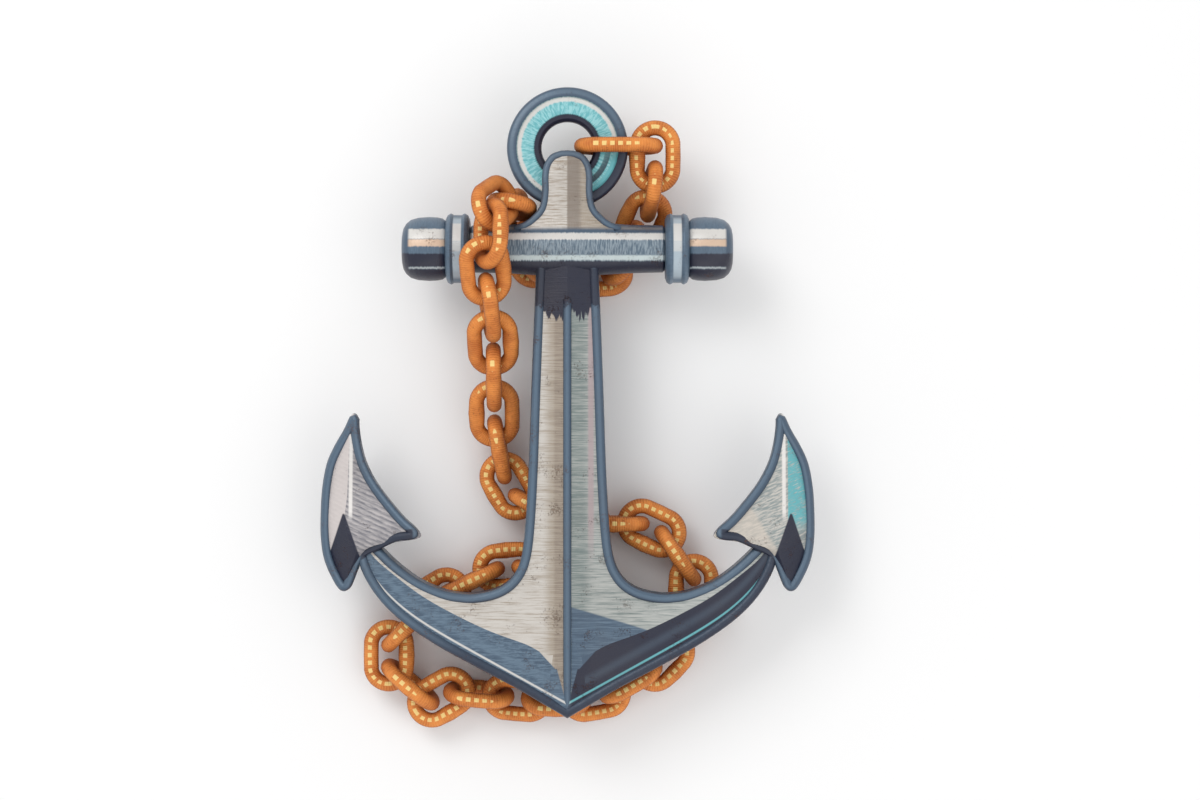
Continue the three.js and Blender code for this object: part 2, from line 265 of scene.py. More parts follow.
shankLook = {
    "rightDark": (0.17, 0.21, 0.205), "rightPale": (0.38, 0.40, 0.38),
    "ridge": (0.23, 0.185, 0.15), "ridgeHalf": (0.011, 0.015), "edgeFrom": (0.014, 0.026),
    "pink": (0.42, 0.33, 0.34), "pinkAt": 0.0235, "pinkHalf": 0.0028, "pinkEnd": (-0.170, -0.110),
    "wedgeTop": 0.2015, "wedgeSlope": 0.30, "wedgeEnd": (0.086, 0.094),
    "flankTop": 0.302, "flankSlope": 0.27, "flankFrom": (-0.2500, -0.2480),
    "stockShadowFrom": (0.094, 0.098), "stockShadowRough": 0.045,
}


# Pale facets with cross streaks and painted light and shade: darker beside the ridge and on the right, whiter towards
# the edges, a thin pink line of painted light on the right, a slate wedge of painted shadow and dark flanks of
# painted shade at the crown, a navy painted shadow under the stock
def shankPaint():
    sheet = Sheet("shankFacetPaint")
    place = sheet.place()
    x, y = sheet.axes(place)[:2]
    nz = sheet.facing()[2]
    across = sheet.grain(place, 30.0, 4.0, (1.2, 26.0, 1.0))
    fine = sheet.grain(place, 60.0, 2.0, (1.0, 18.0, 1.0))
    streak = across * 0.6 + fine * 0.4
    side = x.rise(-0.004, 0.006)
    reach = abs(x)
    colour = sheet.mix(streak.rise(0.38, 0.62), paint["sand"], paint["cream"])
    # painted shade: a darker tone beside the ridge
    ridgeTone = sheet.mix(streak.rise(0.40, 0.60), shankLook["ridge"], paint["sand"])
    colour = sheet.mix(reach.fall(*shankLook["ridgeHalf"]) * 0.75, colour, ridgeTone)
    # painted shade: the right side darker and greener
    rightSide = sheet.mix(streak.rise(0.38, 0.68), shankLook["rightDark"], shankLook["rightPale"])
    colour = sheet.mix(side, colour, rightSide)
    # painted highlight: whiter towards the edges, less so on the right
    edge = reach.rise(*shankLook["edgeFrom"]) * streak.rise(0.30, 0.55)
    colour = sheet.mix(edge * (0.60 - side * 0.30), colour, paint["white"])
    down = y - middleY
    # painted light: a thin pink line near the right edge
    pink = side * down.rise(*shankLook["pinkEnd"])
    pink = pink * reach.band(shankLook["pinkAt"], shankLook["pinkHalf"], 0.0012)
    colour = sheet.mix(pink * 0.85, colour, shankLook["pink"])
    # painted shadow: a slate wedge right of the crown's middle
    wedge = (down + shankLook["wedgeTop"] + x * shankLook["wedgeSlope"]).fall(-0.0010, 0.0010)
    wedge = wedge * x.rise(0.0035, 0.0045) * x.fall(*shankLook["wedgeEnd"])
    wedgeTone = sheet.mix(streak.rise(0.4, 0.7), paint["slate"], paint["slateLight"])
    colour = sheet.mix(wedge * nz.rise(0.2, 0.5), colour, wedgeTone)
    # painted shade on the flanks beside the pale point of the crown, slate on the left and navy on the right, with
    # the thin line of painted highlight that the arms carry on
    flank = (reach - (down + shankLook["flankTop"]) * shankLook["flankSlope"]).rise(-0.0005, 0.0005)
    flank = flank * down.fall(*shankLook["flankFrom"]) * (1.0 - lobeCorner(x, y))
    line = edgeLine(x, y)[0]
    leftTone = sheet.mix(streak.rise(0.35, 0.65), paint["slate"], paint["slateLight"])
    flankTone = sheet.mix(side, leftTone, paint["navy"])
    flankTone = sheet.mix(line * 0.9, flankTone, sheet.mix(side, paint["white"], paint["teal"]))
    colour = sheet.mix(flank * nz.rise(0.2, 0.5), colour, flankTone)
    # painted shadow of the stock: navy with a ragged lower edge on the shank's top
    ragged = (sheet.grain(place, 90.0, 2.0, (3.0, 0.4, 1.0)) - 0.5) * shankLook["stockShadowRough"]
    stockShadow = (y + ragged).rise(*shankLook["stockShadowFrom"])
    colour = sheet.mix(stockShadow * nz.rise(0.0, 0.3), colour, paint["navy"])
    backTone = sheet.mix(streak.rise(0.4, 0.7) * 0.4, paint["slate"], paint["slateLight"])
    colour = sheet.mix(nz.fall(-0.2, 0.3), colour, backTone)
    colour, wearAndSheen, pits = weather(sheet, place, colour, 0.45)
    roughness = wearAndSheen * 0.35 + streak * 0.15 + 0.34
    return sheet.finish(colour, roughness, streak * 0.6 + pits * 0.3 - wearAndSheen, 0.0007, 0.1)


crownLook = {
    "cornerX": 0.012, "cornerY": -0.264, "cornerSlope": 0.9,
    "lineSlope": 0.55, "lineEnd": 0.205, "lineRise": 0.033, "lineFoot": 0.312, "lineHigh": 0.0130, "lineHalf": 0.0012,
}


# The upper inner corner of a lobe of painted shade at the crown, which is rounded off
def lobeCorner(x, y):
    above = y - middleY - crownLook["cornerY"]
    slope = abs(x) - crownLook["cornerX"] - above * crownLook["cornerSlope"]
    return slope.fall(-0.0006, 0.0006) * above.rise(-0.0005, 0.0005)


# The thin line of painted highlight above the lower rim, and the height over where that rim runs
def edgeLine(x, y):
    reach = abs(x)
    turnUp = (reach / crownLook["lineEnd"]) ** 8 * crownLook["lineRise"]
    above = y - (reach * crownLook["lineSlope"] + turnUp - crownLook["lineFoot"] + middleY)
    return above.band(crownLook["lineHigh"], crownLook["lineHalf"], 0.0006), above


# The arms' lower facets in painted shade: slate on the left, navy on the right, lighter along their middle, with a
# thin line of painted highlight near the lower rim
def armPaint():
    sheet = Sheet("armLowerPaint")
    place = sheet.place()
    x, y = sheet.axes(place)[:2]
    nz = sheet.facing()[2]
    streak = sheet.grain(place, 60.0, 3.0, (2.0, 12.0, 1.0))
    side = x.rise(-0.004, 0.006)
    # painted shade: slate on the left, navy on the right
    leftTone = sheet.mix(streak.rise(0.35, 0.65), paint["slate"], paint["slateLight"])
    colour = sheet.mix(side, leftTone, paint["navy"])
    # the rounded corner of the painted shade: pale on the left, slate on the right
    cornerTone = sheet.mix(side, (0.55, 0.51, 0.46), paint["slate"])
    colour = sheet.mix(lobeCorner(x, y) * nz.rise(0.2, 0.5), colour, cornerTone)
    line, above = edgeLine(x, y)
    # painted highlight: a lighter band along the facet's middle, for a rounded look
    colour = sheet.mix(above.band(0.026, 0.004, 0.004) * (0.55 - side * 0.35), colour, paint["slateLight"])
    # painted highlight: the thin line, white on the left and teal on the right
    lineTone = sheet.mix(side, paint["white"], paint["teal"])
    colour = sheet.mix(line * 0.9 * nz.rise(0.2, 0.5), colour, lineTone)
    colour, wearAndSheen, pits = weather(sheet, place, colour, 0.4)
    return sheet.finish(colour, wearAndSheen * 0.35 + 0.34, streak * 0.4 + pits * 0.4 - wearAndSheen, 0.0006, 0.1)


palmLook = {
    "hatchDark": (0.155, 0.155, 0.18), "hatchPale": (0.47, 0.44, 0.44), "hatchStep": 0.0046,
    "rightDark": (0.27, 0.31, 0.31), "rightPale": (0.55, 0.53, 0.49),
    "creaseAt": 0.2190, "crease": (0.80, 0.77, 0.74), "warm": (0.66, 0.58, 0.50), "outer": (0.68, 0.62, 0.60),
    "spearAt": 0.2225, "spearTop": -0.100, "spearFoot": 0.177,
}


# Hatched left palm, streaked right palm, a painted highlight along the crease, paler where the left palm faces
# outward, a teal painted reflection on the right palm, and a dark spear of painted shade in the recess near the foot
def palmPaint():
    sheet = Sheet("palmFacetPaint")
    place = sheet.place()
    x, y, z = sheet.axes(place)
    nx, nz = sheet.facing()[::2]
    right = x.rise(-0.01, 0.01)
    outward = nx * (right * 2.0 - 1.0)
    reach = abs(x)
    slant = sheet.add("ShaderNodeCombineXYZ", {}, reach * 0.92 + y * 0.38, y * 0.92 - reach * 0.38, z)
    streak = sheet.grain(slant, 46.0, 3.0, (2.2, 13.0, 1.0))
    fine = sheet.grain(slant, 140.0, 2.0, (1.0, 8.0, 1.0))
    rows = (y * 0.90 - reach * 0.42 + streak * 0.004).wave(palmLook["hatchStep"])
    hatch = (rows * 0.5 + 0.5) * 0.55 + streak.rise(0.35, 0.65) * 0.45
    hatched = sheet.mix(hatch, palmLook["hatchDark"], palmLook["hatchPale"])
    streaked = sheet.mix(streak.rise(0.38, 0.62), palmLook["rightDark"], palmLook["rightPale"])
    colour = sheet.mix(right, hatched, streaked)
    # painted highlight: a pale line along the crease
    crease = reach - palmLook["creaseAt"]
    creaseLine = crease.band(-0.0035, 0.0018, 0.0008) * y.rise(-0.112, -0.100)
    colour = sheet.mix(creaseLine * 0.9, colour, palmLook["crease"])
    warm = (crease + (y + 0.112) * 0.62).fall(-0.0300, -0.0240) * right
    colour = sheet.mix(warm * 0.6, colour, palmLook["warm"])
    # painted reflection: teal on the right palm's outer upper face
    teal = right * crease.rise(0.0, 0.001) * nz.rise(0.1, 0.3) * y.rise(-0.125, -0.105)
    colour = sheet.mix(teal * fine.rise(0.3, 0.5), colour, paint["teal"])
    # painted light: paler where the left palm faces outward
    colour = sheet.mix((1.0 - right) * outward.rise(0.30, 0.40) * 0.85, colour, palmLook["outer"])
    # painted shade: a navy spear shape in the recess near the foot
    fromMiddle = abs(reach - palmLook["spearAt"])
    spear = (fromMiddle - (palmLook["spearTop"] - y) * 0.36).fall(-0.0008, 0.0008)
    foot = -palmLook["spearFoot"]
    spear = spear * (y + fromMiddle * 1.1).rise(foot, foot + 0.002)
    colour = sheet.mix(spear * y.fall(-0.104, -0.102) * nz.rise(0.1, 0.3), colour, paint["navy"])
    colour = sheet.mix(nz.fall(-0.2, 0.2), colour, paint["slate"])
    colour, wearAndSheen, pits = weather(sheet, place, colour, 0.4)
    height = streak * 0.4 + fine * 0.3 + pits * 0.3 - wearAndSheen
    return sheet.finish(colour, wearAndSheen * 0.35 + 0.36, height, 0.0006, 0.1)


stripeSoft = 0.0009


# Soft-edged stripes laid over a colour; rows of (start, end, colour, strength)
def stripes(sheet, along, colour, rows):
    for start, end, tone, strength in rows:
        middle, half = (start + end) / 2, (end - start) / 2
        colour = sheet.mix(along.band(middle, half, stripeSoft) * strength, colour, tone)
    return colour


# painted highlight and shade of a round bar: slate edge above, white highlight, a pale line, navy shade beneath
stockStripes = [
    (0.0152, 0.0400, paint["slate"], 1.0),
    (0.0080, 0.0147, paint["white"], 0.95),
    (-0.0122, -0.0075, (0.58, 0.66, 0.66), 0.9),
    (-0.0400, -0.0130, paint["navy"], 1.0),
]
# painted highlight and shade on the round ends: white highlight above, navy shade beneath
endStripes = [
    (0.0085, 0.0185, paint["white"], 1.0),
    (0.0010, 0.0080, paint["peach"], 0.95),
    (-0.0190, -0.0062, paint["navy"], 1.0),
    (-0.0208, -0.0192, (0.50, 0.54, 0.55), 0.9),
    (-0.0400, -0.0210, paint["navy"], 1.0),
]
endLook = {"navyBelow": (-0.0065, -0.0045), "borderFrom": (0.1560, 0.1590)}
bandLook = {"panelAt": 0.1094, "panelHalf": 0.0042, "panel": (0.42, 0.50, 0.56)}
# painted highlight: a white stripe on the upper part of the band's panel
bandStripes = [
    (0.006, 0.024, paint["white"], 0.9),
    (-0.004, 0.006, (0.60, 0.62, 0.62), 0.9),
]
ringLook = {
    "shadeFrom": (0.030, 0.060),  # painted shade: the side by the chain is darker
    "outerLine": (0.0560, 0.0022, 0.0012), "darkFrom": (0.0500, 0.0512),
    "tealLine": (0.0483, 0.0026, 0.0006), "navyLine": (0.0405, 0.0028, 0.0006),
}
# painted highlight and shade across the ring: a thin white highlight, the slate outer edge, navy painted shade on the
# inner edge
ringStripes = [
    (0.0460, 0.0506, paint["white"], 0.95),
    (0.0506, 0.0700, paint["slate"], 1.0),
    (0.0100, 0.0335, paint["navy"], 1.0),
]


# Stripes along the stock, with a white painted highlight above and navy painted shade beneath, and the pale neck of
# the head above it, whiter on its left half and darker beside the ridge as painted light and shade
def stockPaint():
    sheet = Sheet("stockPaint")
    place = sheet.place()
    x, y = sheet.axes(place)[:2]
    nz = sheet.facing()[2]
    hatch = sheet.grain(place, 60.0, 3.0, (14.0, 2.0, 2.0))
    offset = y - stockCentre.y + (hatch - 0.5) * 0.003
    colour = sheet.mix(hatch.rise(0.4, 0.6), (0.10, 0.15, 0.20), (0.26, 0.32, 0.37))
    colour = stripes(sheet, offset, colour, stockStripes)
    neck = (y - stockCentre.y).rise(0.017, 0.022)
    cross = sheet.grain(place, 30.0, 4.0, (2.0, 22.0, 1.0))
    neckTone = sheet.mix(cross.rise(0.36, 0.62), paint["sand"], paint["cream"])
    # painted light and shade on the neck: whiter on the left half, darker beside the ridge
    leftHalf = x.fall(-0.001, 0.001) * cross.rise(0.3, 0.6)
    neckTone = sheet.mix(leftHalf * 0.6, neckTone, paint["white"])
    besideRidge = x.rise(-0.001, 0.001) * x.fall(0.010, 0.016)
    neckTone = sheet.mix(besideRidge * 0.7, neckTone, (0.21, 0.175, 0.15))
    colour = sheet.mix(neck * nz.rise(0.3, 0.7), colour, neckTone)
    colour = sheet.mix(neck * nz.fall(0.3, 0.7), colour, paint["slate"])
    colour = sheet.mix(nz.fall(-0.5, -0.1), colour, paint["navy"])
    colour, wearAndSheen, pits = weather(sheet, place, colour, 0.4)
    return sheet.finish(colour, wearAndSheen * 0.35 + 0.34, hatch * 0.5 + pits * 0.3 - wearAndSheen, 0.0006, 0.1)


def endPaint():
    sheet = Sheet("stockEndPaint")
    place = sheet.place()
    x, y = sheet.axes(place)[:2]
    nz = sheet.facing()[2]
    hatch = sheet.grain(place, 70.0, 3.0, (12.0, 2.0, 2.0))
    offset = y - stockCentre.y + (hatch - 0.5) * 0.003
    colour = sheet.mix(hatch, paint["slate"], paint["slateLight"])
    colour = stripes(sheet, offset, colour, endStripes)
    # painted shade: the end's outline turns navy below the middle
    border = sheet.mix(offset.fall(*endLook["navyBelow"]), paint["slate"], paint["navy"])
    colour = sheet.mix(abs(x).rise(*endLook["borderFrom"]), colour, border)
    colour = sheet.mix(nz.fall(-0.3, 0.15), colour, paint["slate"])
    colour, wearAndSheen, pits = weather(sheet, place, colour, 0.45)
    return sheet.finish(colour, wearAndSheen * 0.35 + 0.34, hatch * 0.5 + pits * 0.3 - wearAndSheen, 0.0006, 0.1)


def bandPaint():
    sheet = Sheet("stockBandPaint")
    place = sheet.place()
    x, y = sheet.axes(place)[:2]
    nz = sheet.facing()[2]
    brushed = sheet.grain(place, 90.0, 3.0, (2.0, 10.0, 2.0))
    colour = sheet.mix(brushed, paint["slate"], paint["slateLight"])
    middle = abs(x).band(bandLook["panelAt"], bandLook["panelHalf"], 0.0008)
    offset = y - stockCentre.y
    panel = stripes(sheet, offset, bandLook["panel"], bandStripes)
    colour = sheet.mix(middle * nz.rise(0.35, 0.6), colour, panel)
    colour, wearAndSheen, pits = weather(sheet, place, colour, 0.5)
    return sheet.finish(colour, wearAndSheen * 0.35 + 0.34, brushed * 0.5 + pits * 0.4 - wearAndSheen, 0.0006, 0.15)


def ringPaint():
    sheet = Sheet("ringPaint")
    place = sheet.place()
    centred = sheet.add("ShaderNodeVectorMath", {"operation": "SUBTRACT"}, place, tuple(ringCentre))
    x, y = sheet.axes(centred)[:2]
    radius = (x * x + y * y) ** 0.5
    angle = sheet.add("ShaderNodeMath", {"operation": "ARCTAN2"}, y, x)
    rays = sheet.add("ShaderNodeCombineXYZ", {}, angle * 0.35, radius * 2.0, 0.0)
    hatch = sheet.grain(rays, 60.0, 3.0)
    wavy = radius + (hatch - 0.5) * 0.0022
    colour = sheet.mix(hatch.rise(0.38, 0.60), paint["teal"], paint["tealLight"])
    colour = stripes(sheet, wavy, colour, ringStripes)
    # painted highlight: a lighter line on the outer edge
    colour = sheet.mix(radius.band(*ringLook["outerLine"]) * 0.6, colour, paint["slateLight"])
    # painted shade on the side by the chain: navy over the outer part, with a teal and a navy line
    shade = (x - y).rise(*ringLook["shadeFrom"])
    colour = sheet.mix(shade * radius.rise(*ringLook["darkFrom"]) * 0.9, colour, paint["navy"])
    colour = sheet.mix(shade * radius.band(*ringLook["tealLine"]), colour, paint["teal"])
    colour = sheet.mix(shade * radius.band(*ringLook["navyLine"]) * 0.9, colour, paint["navy"])
    colour, wearAndSheen, pits = weather(sheet, place, colour, 0.4)
    return sheet.finish(colour, wearAndSheen * 0.35 + 0.34, hatch * 0.5 + pits * 0.3 - wearAndSheen, 0.0006, 0.1)


chainLook = {
    "dark": (0.50, 0.125, 0.016), "light": (0.80, 0.27, 0.050), "under": (0.25, 0.052, 0.010),
    "ring": (0.90, 0.36, 0.09), "flake": (0.17, 0.040, 0.012), "wearAndSheen": (0.93, 0.70, 0.27),
    "ringsPerCm": 4.6, "dashesPerCm": 1.30, "sheenFrom": (0.948, 0.962),
}


# Rust with fine rings round the bar, painted shade on its sides and underside, and pale dashes of painted highlight,
# looking like rubbed wear, along its upward side
def chainPaint():
    sheet = Sheet("chainRust")
    place = sheet.place()
    u = sheet.axes(sheet.add("ShaderNodeTexCoord", {}, out=2))[0]  # centimetres along the bar
    nx, ny, nz = sheet.facing()
    loose = sheet.grain(place, 55.0, 5.0)
    flakes = sheet.grain(place, 420.0, 4.0)
    rings = (u * chainLook["ringsPerCm"] + loose * 0.6).wave(1.0) * 0.5 + 0.5
    colour = sheet.mix(loose.rise(0.30, 0.68), chainLook["dark"], chainLook["light"])
    # painted shade: darker on the sides and underside of the bar
    colour = sheet.mix(nz.fall(0.15, 0.75) * 0.75, colour, chainLook["under"])
    colour = sheet.mix(rings * 0.30, colour, chainLook["ring"])
    colour = sheet.mix(flakes.rise(0.60, 0.72) * 0.6, colour, chainLook["flake"])
    # painted highlight: pale dashes where the bar faces up and towards the upper left, looking like rubbed wear
    lean = nz * 0.985 + ny * 0.12 - nx * 0.12
    along = (u + loose * 0.10).wave(1.0 / chainLook["dashesPerCm"])
    dashes = (along + flakes * 0.5).rise(-0.10, 0.20)
    wearAndSheen = lean.rise(*chainLook["sheenFrom"]) * dashes
    colour = sheet.mix(wearAndSheen * 0.92, colour, chainLook["wearAndSheen"])
    height = rings * 0.45 + flakes * 0.5 + loose * 0.3
    return sheet.finish(colour, flakes * 0.25 + 0.52, height, 0.0008, 0.1)


slateRim = slatePaint("slateRimPaint")
navyRim = slatePaint("navyRimPaint", dark=True)
print("finishes made")


near = {"point": 0.00002, "mirror": 0.00005, "join": 0.0004}  # how close points are merged


def clearSelection():
    if bpy.context.object and bpy.context.object.mode != "OBJECT":
        bpy.ops.object.mode_set(mode="OBJECT")
    bpy.ops.object.select_all(action="DESELECT")


def pick(piece):
    clearSelection()
    piece.select_set(True)
    bpy.context.view_layer.objects.active = piece


def editWith(piece, mode="FACE"):
    pick(piece)
    bpy.ops.object.mode_set(mode="EDIT")
    bpy.ops.mesh.select_mode(type=mode)
    bpy.ops.mesh.select_all(action="DESELECT")


# Selects the faces, edges or vertices for which wanted(element) is true
def choose(piece, wanted, kind="faces"):
    mesh = bmesh.from_edit_mesh(piece.data)
    chosen = [element for element in getattr(mesh, kind) if wanted(element)]
    for element in chosen:
        element.select_set(True)
    mesh.select_flush_mode()
    bmesh.update_edit_mesh(piece.data)


# Back to object mode, place in the mesh, shaded smooth but for sharp edges
def settle(piece, smooth):
    pick(piece)
    bpy.ops.object.transform_apply(location=True, rotation=True, scale=True)
    bpy.ops.object.shade_smooth_by_angle(angle=math.radians(smooth))


def applyModifier(piece, kind, **settings):
    pick(piece)
    modifier = piece.modifiers.new(kind.lower(), kind)
    for key, value in settings.items():
        setattr(modifier, key, value)
    bpy.ops.object.modifier_apply(modifier=modifier.name)


def handOver(piece, body, slot, *standsFor):
    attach(piece, body)
    if standsFor:
        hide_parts(*standsFor)


# A turned piece: the closed profile of (radius, along) pairs is spun round the axis
def spunPiece(name, profile, centre, axis, steps):
    clearSelection()
    bpy.ops.mesh.primitive_circle_add(vertices=len(profile), radius=0.01, location=(0, 0, 0))
    piece = bpy.context.object
    piece.name = name
    along = Vector(axis)
    out = Vector((0, 1, 0)) if axis[0] else Vector((1, 0, 0))
    for vertex, (radius, offset) in zip(piece.data.vertices, profile):
        vertex.co = Vector(centre) + along * offset + out * radius
    editWith(piece, "VERT")
    bpy.ops.mesh.select_all(action="SELECT")
    bpy.ops.mesh.spin(steps=steps, angle=2 * math.pi, center=centre, axis=axis, use_auto_merge=True)
    bpy.ops.mesh.select_all(action="SELECT")
    bpy.ops.mesh.remove_doubles(threshold=near["point"])
    bpy.ops.mesh.normals_make_consistent(inside=False)
    bpy.ops.object.mode_set(mode="OBJECT")
    return piece


link = {
    "bendRadius": 0.018, "barRadius": 0.0076, "barReal": 0.008, "inside": 0.042, "endInside": 0.058,
    "around": 40, "sides": 16, "nearMiddle": 0.0008, "weld": 1.10, "smooth": 60.0, "count": 41,
    "endShare": 0.985, "sideShare": 0.96,  # how far out a point counts as the link's end or side
}


def masterLink(name, inside):
    clearSelection()
    bpy.ops.mesh.primitive_torus_add(
        major_radius=link["bendRadius"], minor_radius=link["barRadius"],
        major_segments=link["around"], minor_segments=link["sides"], location=(0, 0, 0))
    piece = bpy.context.object
    piece.name = name
    stretch = inside / 2 + link["barReal"] - link["bendRadius"]
    for side in (1, -1):
        editWith(piece, "VERT")
        choose(piece, lambda vertex: vertex.co.x * side > link["nearMiddle"], "verts")
        bpy.ops.transform.translate(value=(side * stretch, 0, 0))
    bpy.ops.object.mode_set(mode="OBJECT")
    # the map's first number counts along the bar, in centimetres
    sides, around = link["sides"], link["around"]
    points = [vertex.co for vertex in piece.data.vertices]
    middles = [sum(points[i * sides:(i + 1) * sides], Vector()) / sides for i in range(around)]
    run = [0.0]
    for i in range(around):
        run.append(run[-1] + (middles[(i + 1) % around] - middles[i]).length * 100)
    chart = piece.data.uv_layers.active.data
    for face in piece.data.polygons:
        last = any(corner // sides == around - 1 for corner in face.vertices)
        for loop, corner in zip(face.loop_indices, face.vertices):
            order = corner // sides
            chart[loop].uv.x = run[around if last and order == 0 else order]
    # the weld where the bar's ends meet, half way along one side
    editWith(piece, "VERT")
    choose(piece, lambda vertex: abs(vertex.co.x) < link["nearMiddle"] and vertex.co.y > 0, "verts")
    weld = (1.0, link["weld"], link["weld"])
    bpy.ops.transform.resize(value=weld, center_override=(0, link["bendRadius"], 0))
    bpy.ops.object.mode_set(mode="OBJECT")
    return piece


# The turn and place of a link, from the spread of its own vertices
def linkPlace(node):
    points = [vertex.co for vertex in nodes[node].data.vertices]
    lows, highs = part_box(node)
    middle = Vector([(lows[i] + highs[i]) / 2 for i in range(3)])
    far = max((point - middle for point in points), key=lambda reach: reach.length)
    ends = [point - middle for point in points if (point - middle).length > far.length * link["endShare"]]
    along = sum((end if end.dot(far) > 0 else -end for end in ends), Vector()).normalized()
    spread = [(point - middle) - along * (point - middle).dot(along) for point in points]
    wide = max(spread, key=lambda point: point.length)
    sides = [point for point in spread if point.length > wide.length * link["sideShare"]]
    across = sum((side if side.dot(wide) > 0 else -side for side in sides), Vector()).normalized()
    across = (across - along * across.dot(along)).normalized()
    normal = along.cross(across)
    turn = Matrix((along, across, normal)).transposed().to_4x4()
    return Matrix.Translation(middle) @ turn


chainFinish = chainPaint()
masters = {
    "end": masterLink("endLinkMaster", link["endInside"]),
    "run": masterLink("linkMaster", link["inside"]),
}
for number in range(1, link["count"] + 1):
    node = f"chain_link_{number:02d}"
    master = masters["end" if number == 1 else "run"]
    piece = master.copy()
    piece.data = master.data.copy()
    piece.name = f"chainLink.{number:02d}"
    bpy.context.scene.collection.objects.link(piece)
    piece.data.transform(linkPlace(node))
    piece.data.materials.append(chainFinish)
    settle(piece, link["smooth"])
    handOver(piece, "chain_tail" if number == link["count"] else "anchor", "rust_iron", node)
for master in masters.values():
    bpy.data.objects.remove(master)
print("chain made")


ring = {"inner": 0.026, "outer": 0.0605, "half": 0.0075, "groove": 0.0022, "steps": 128, "smooth": 40.0}
bead = ring["half"]
ringProfile = [
    (ring["inner"], 0.0035), (ring["inner"] + 0.0008, 0.0055), (ring["inner"] + 0.003, bead),
    (0.0325, bead), (0.0345, bead - ring["groove"]), (0.0495, bead - ring["groove"]), (0.0515, bead),
    (0.0570, bead), (0.0594, bead - 0.0015), (ring["outer"], bead - 0.0045),
]
ringProfile = ringProfile + [(radius, -height) for radius, height in reversed(ringProfile)]
ringPiece = spunPiece("anchorRing", ringProfile, ringCentre, (0, 0, 1), ring["steps"])
ringPiece.data.materials.append(ringPaint())
settle(ringPiece, ring["smooth"])
handOver(ringPiece, "ring", "teal_iron", "ring")
print("ring made")


band = {
    "hole": 0.0145, "steps": 96, "smooth": 40.0,
    "side": [(0.006, 0.0), (0.0018, 0.0018), (0.0, 0.005), (0.0006, 0.0068), (0.0016, 0.0078)],  # (depth, along)
}
bandRadius = (bandBox[1][1] - bandBox[0][1]) / 2
bandSide = [(band["hole"], 0.0)] + [(bandRadius - depth, along) for depth, along in band["side"]]
bandProfile = [(radius, bandBox[0][0] + along) for radius, along in bandSide]
bandWidth = bandBox[1][0] - bandBox[0][0]
bandProfile += [(radius, bandBox[0][0] + bandWidth - along) for radius, along in reversed(bandSide)]

end = {
    "gap": 0.0002, "steps": 96, "smooth": 40.0,
    "plug": [(0.002, -0.004), (0.012, -0.004), (0.014, 0.0)],  # (radius, along) from where it starts
    "near": [(0.004, 0.0), (0.0016, 0.003), (0.0005, 0.008), (0.0, 0.016)],  # (depth, along)
    "far": [(0.0008, 0.016), (0.0030, 0.0085), (0.0070, 0.0038), (0.0115, 0.0012)],  # (depth, back)
    "face": [(0.015, 0.0), (0.008, 0.0), (0.007, 0.0016), (0.002, 0.0016)],  # (radius, back)
}
endReach = endBox[1][0]
endRadius = (endBox[1][1] - endBox[0][1]) / 2
endStart = bandBox[1][0] + end["gap"]
endProfile = [(radius, endStart + along) for radius, along in end["plug"]]
endProfile += [(endRadius - depth, endStart + along) for depth, along in end["near"]]
endProfile += [(endRadius - depth, endReach - back) for depth, back in end["far"]]
endProfile += [(radius, endReach - back) for radius, back in end["face"]]
bandFinish, endFinish = bandPaint(), endPaint()
for side, word in ((1, "right"), (-1, "left")):
    bandPiece = spunPiece(f"stockBand.{word}", bandProfile, stockCentre, (side, 0, 0), band["steps"])
    bandPiece.data.materials.append(bandFinish)
    settle(bandPiece, band["smooth"])
    handOver(bandPiece, "anchor", "slate_iron", f"stock_band_{word}")
    endPiece = spunPiece(f"stockEnd.{word}", endProfile, stockCentre, (side, 0, 0), end["steps"])
    endPiece.data.materials.append(endFinish)
    settle(endPiece, end["smooth"])
    handOver(endPiece, "anchor", "slate_iron", f"stock_end_{word}")
print("stock ends made")


middle = Vector((0.0, middleY, ringCentre.z))
rim = {
    "bead": 0.0049, "inset": 4.6, "sink": 0.5, "middleBead": 0.0043, "smooth": 50.0,
    "corner": 0.0007, "sharp": 40, "wallSlope": 0.4,
}


# Rows of points with more rows between them, so that each line along them runs in a smooth curve
def eased(rows, between):
    result = []
    for i in range(len(rows) - 1):
        nearby = [rows[max(i - 1, 0)], rows[i], rows[i + 1], rows[min(i + 2, len(rows) - 1)]]
        for step in range(between):
            t = step / between
            weights = (
                (-t + 2 * t * t - t ** 3) / 2, (2 - 5 * t * t + 3 * t ** 3) / 2,
                (t + 4 * t * t - 3 * t ** 3) / 2, (t ** 3 - t * t) / 2,
            )
            result.append([
                tuple(sum(w * p[k] for w, p in zip(weights, four)) for k in range(3))
                for four in zip(*nearby)])
    return result + [list(rows[-1])]


# A grid laid along rows of [x, y, height] points in millimetres
def strip(name, rows, between=1):
    rows = eased(rows, between) if between > 1 else rows
    clearSelection()
    across, down = len(rows[0]) - 1, len(rows) - 1
    bpy.ops.mesh.primitive_grid_add(x_subdivisions=across, y_subdivisions=down, size=1.0, location=(0, 0, 0))
    piece = bpy.context.object
    piece.name = name
    for index, vertex in enumerate(piece.data.vertices):
        row, column = divmod(index, len(rows[0]))
        vertex.co = Vector(rows[row][column]) / 1000
    return piece


